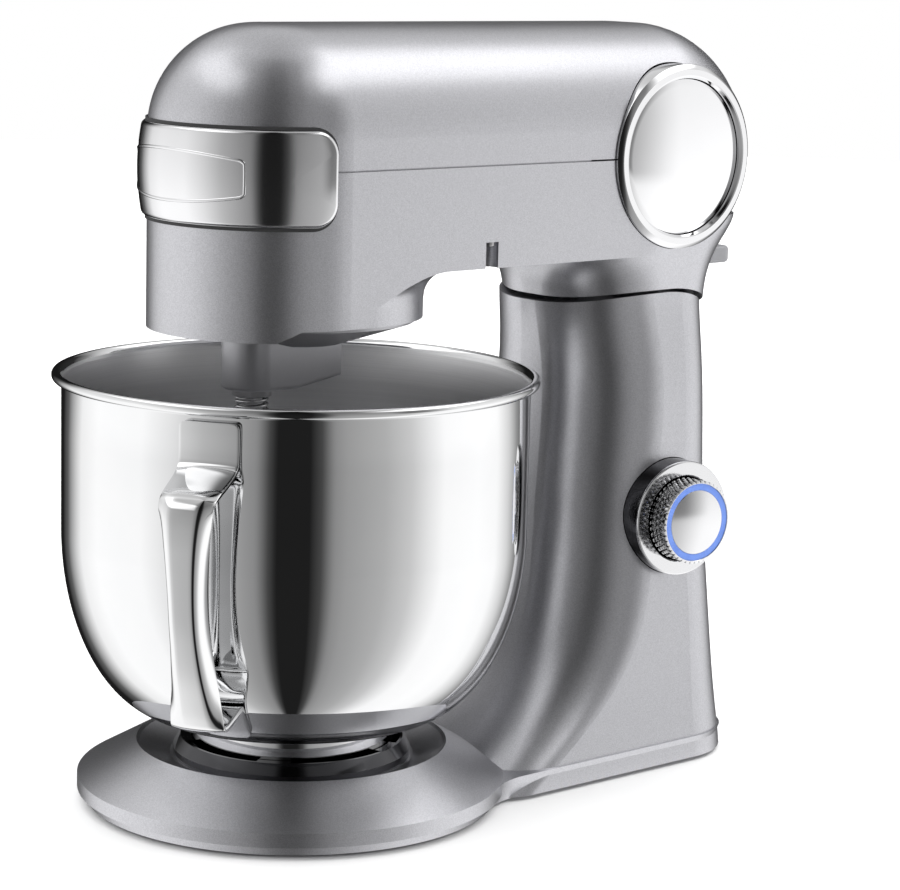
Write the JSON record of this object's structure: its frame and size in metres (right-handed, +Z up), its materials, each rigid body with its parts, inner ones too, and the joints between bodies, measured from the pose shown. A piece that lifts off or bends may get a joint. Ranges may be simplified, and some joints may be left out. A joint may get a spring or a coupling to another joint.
{
  "type": "stand mixer",
  "caption": "Tilt-head stand mixer with a twist-lock steel bowl, side speed dial, planetary beater drive, rear release lever and a covered front power outlet.",
  "frame": {"origin": "middle of the footprint's bounding box, on the table", "axes": "+Z up, nose and front towards -Y, release lever towards +Y, speed dial on +X"},
  "size_m": [0.224, 0.3989, 0.36],
  "materials": {
    "silver_paint": "gloss",
    "polished_steel": "polished",
    "chrome": "polished",
    "dark_chrome": "polished",
    "mirror": "polished",
    "bright_steel": "satin",
    "die_cast": "cast",
    "zinc_paint": "satin",
    "steel_gear": "machined",
    "iron_core": "laminated",
    "brass": "bearing bronze",
    "black_rubber": "matt",
    "grey_rubber": "matt",
    "black_plastic": "moulded",
    "grey_plastic": "moulded",
    "pale_plastic": "moulded",
    "green_board": "solder mask",
    "blue_light": "translucent"
  },
  "bodies": {
    "stand": {"stand_casting": "silver_paint", "base_bottom_plate": "black_plastic", "base_feet": "grey_rubber", "stand_screws": "steel_gear", "bowl_seat_plate": "dark_chrome", "tilt_pin": "steel_gear", "tilt_pin_clips": "steel_gear", "latch_striker": "steel_gear", "control_board": "green_board", "speed_encoder": "black_plastic", "dial_bezel": "dark_chrome", "dial_trim_ring": "chrome", "cord_gland": "black_rubber"},
    "head": {"head_top_cover": "silver_paint", "head_lower_housing": "silver_paint", "hinge_bracket": "die_cast", "head_screws": "steel_gear", "gearbox_housing": "die_cast", "gearbox_cover": "die_cast", "ring_gear": "steel_gear", "shaft_bearings": "bright_steel", "motor_can": "iron_core", "motor_bracket": "bright_steel", "drive_belt": "black_rubber", "outlet_barrel": "die_cast", "port_seal": "black_rubber", "side_ring_right": "chrome", "side_ring_left": "chrome", "side_mirror_right": "mirror", "side_mirror_left": "mirror", "lever_pin": "steel_gear", "latch_spring": "steel_gear"},
    "carrier": {"planet_hub": "zinc_paint", "carrier_shaft": "steel_gear", "carrier_gear": "steel_gear", "upright_bevel": "steel_gear", "shaft_bushes": "brass"},
    "beater_drive": {"beater_shaft": "bright_steel", "drive_pin": "bright_steel", "planet_pinion": "steel_gear", "shaft_spring": "bright_steel", "spring_collar": "bright_steel"},
    "motor": {"motor_rotor": "iron_core", "motor_shaft": "steel_gear", "motor_pulley": "die_cast", "cooling_fan": "pale_plastic"},
    "input": {"input_shaft": "steel_gear", "input_pulley": "die_cast", "input_pinion": "steel_gear"},
    "outlet": {"outlet_shaft": "steel_gear", "outlet_bevel": "steel_gear"},
    "bowl": {"bowl_shell": "polished_steel", "bowl_foot": "polished_steel", "bowl_handle": "polished_steel"},
    "dial": {"dial_knob": "chrome", "dial_light_ring": "blue_light", "dial_cap": "chrome", "dial_spindle": "pale_plastic"},
    "lever": {"release_lever": "grey_plastic"},
    "outlet_cover": {"port_cover": "chrome"}
  },
  "joints": [
    {"name": "head_tilt", "type": "hinge", "parent": "stand", "child": "head", "pos_m": [0, 0.1175, 0.16], "axis": [-1, 0, 0], "range_deg": [0, 38]},
    {"name": "carrier_spin", "type": "hinge", "parent": "head", "child": "carrier", "pos_m": [0, -0.0745, 0.24], "axis": [0, 0, 1], "continuous": true},
    {"name": "beater_spin", "type": "hinge", "parent": "carrier", "child": "beater_drive", "pos_m": [0, -0.1005, 0.21], "axis": [0, 0, 1], "continuous": true},
    {"name": "input_spin", "type": "hinge", "parent": "head", "child": "input", "pos_m": [0, -0.0295, 0.265], "axis": [0, 0, 1], "continuous": true},
    {"name": "motor_spin", "type": "hinge", "parent": "head", "child": "motor", "pos_m": [0, 0.0815, 0.28], "axis": [0, 0, 1], "continuous": true},
    {"name": "outlet_spin", "type": "hinge", "parent": "head", "child": "outlet", "pos_m": [0, -0.1045, 0.295], "axis": [0, -1, 0], "continuous": true},
    {"name": "bowl_twist", "type": "hinge", "parent": "stand", "child": "bowl", "pos_m": [0, -0.0745, 0.025], "axis": [0, 0, 1], "range_deg": [0, 30]},
    {"name": "speed_dial", "type": "hinge", "parent": "stand", "child": "dial", "pos_m": [0.0649, 0.1151, 0.1217], "axis": [0.9954, -0.0958, 0], "range_deg": [0, 270]},
    {"name": "head_release", "type": "hinge", "parent": "head", "child": "lever", "pos_m": [0, 0.1495, 0.243], "axis": [-1, 0, 0], "range_deg": [0, 12], "stiffness_Nm_per_rad": 2, "deforming": ["latch_spring"]},
    {"name": "outlet_cover_pull", "type": "slide", "parent": "head", "child": "outlet_cover", "axis": [0, -1, 0], "range_m": [0, 0.09]}
  ],
  "couplings": [
    {"joint": "beater_spin", "follows": "carrier_spin", "ratio": -3},
    {"joint": "input_spin", "follows": "carrier_spin", "ratio": -4},
    {"joint": "motor_spin", "follows": "carrier_spin", "ratio": -14.222},
    {"joint": "outlet_spin", "follows": "carrier_spin", "ratio": 1}
  ]
}
